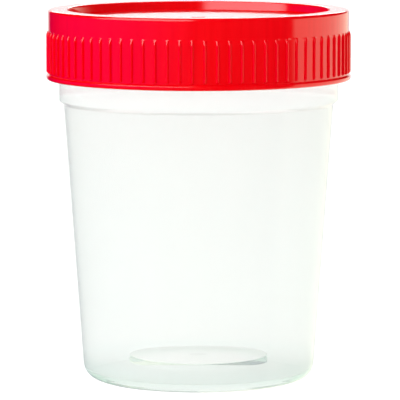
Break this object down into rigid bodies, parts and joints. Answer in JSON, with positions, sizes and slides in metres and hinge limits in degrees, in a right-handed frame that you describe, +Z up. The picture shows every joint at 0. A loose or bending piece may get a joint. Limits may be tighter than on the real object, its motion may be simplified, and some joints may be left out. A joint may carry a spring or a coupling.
{
  "type": "specimen container",
  "caption": "Small upright screw-cap specimen container: translucent tapered cup with a stepped neck and pushed-up base, closed by a red ribbed cap with a recessed lid.",
  "frame": {"origin": "middle of the resting ring, on the surface that the container stands on", "axes": "+Z up along the axis of the cup and cap; the object looks the same from every side, so X and Y are free"},
  "size_m": [0.062, 0.062, 0.0755],
  "materials": {
    "cup": "translucent moulded polypropylene, smooth",
    "cap": "glossy moulded polyethylene",
    "seal": "soft white foam or rubber"
  },
  "bodies": {
    "cup": {"container": "cup"},
    "seal": {"seal_ring": "seal"},
    "cap": {"screw_cap": "cap"}
  },
  "joints": [
    {"name": "cap_rise", "type": "slide", "parent": "cup", "child": "seal", "axis": [0, 0, 1], "range_m": [0, 0.02]},
    {"name": "cap_turn", "type": "hinge", "parent": "seal", "child": "cap", "pos_m": [0, 0, 0.0613], "axis": [0, 0, 1], "range_deg": [0, 1440]}
  ],
  "couplings": [
    {"joint": "cap_rise", "follows": "cap_turn", "m_per_rad": 0.00079577}
  ]
}
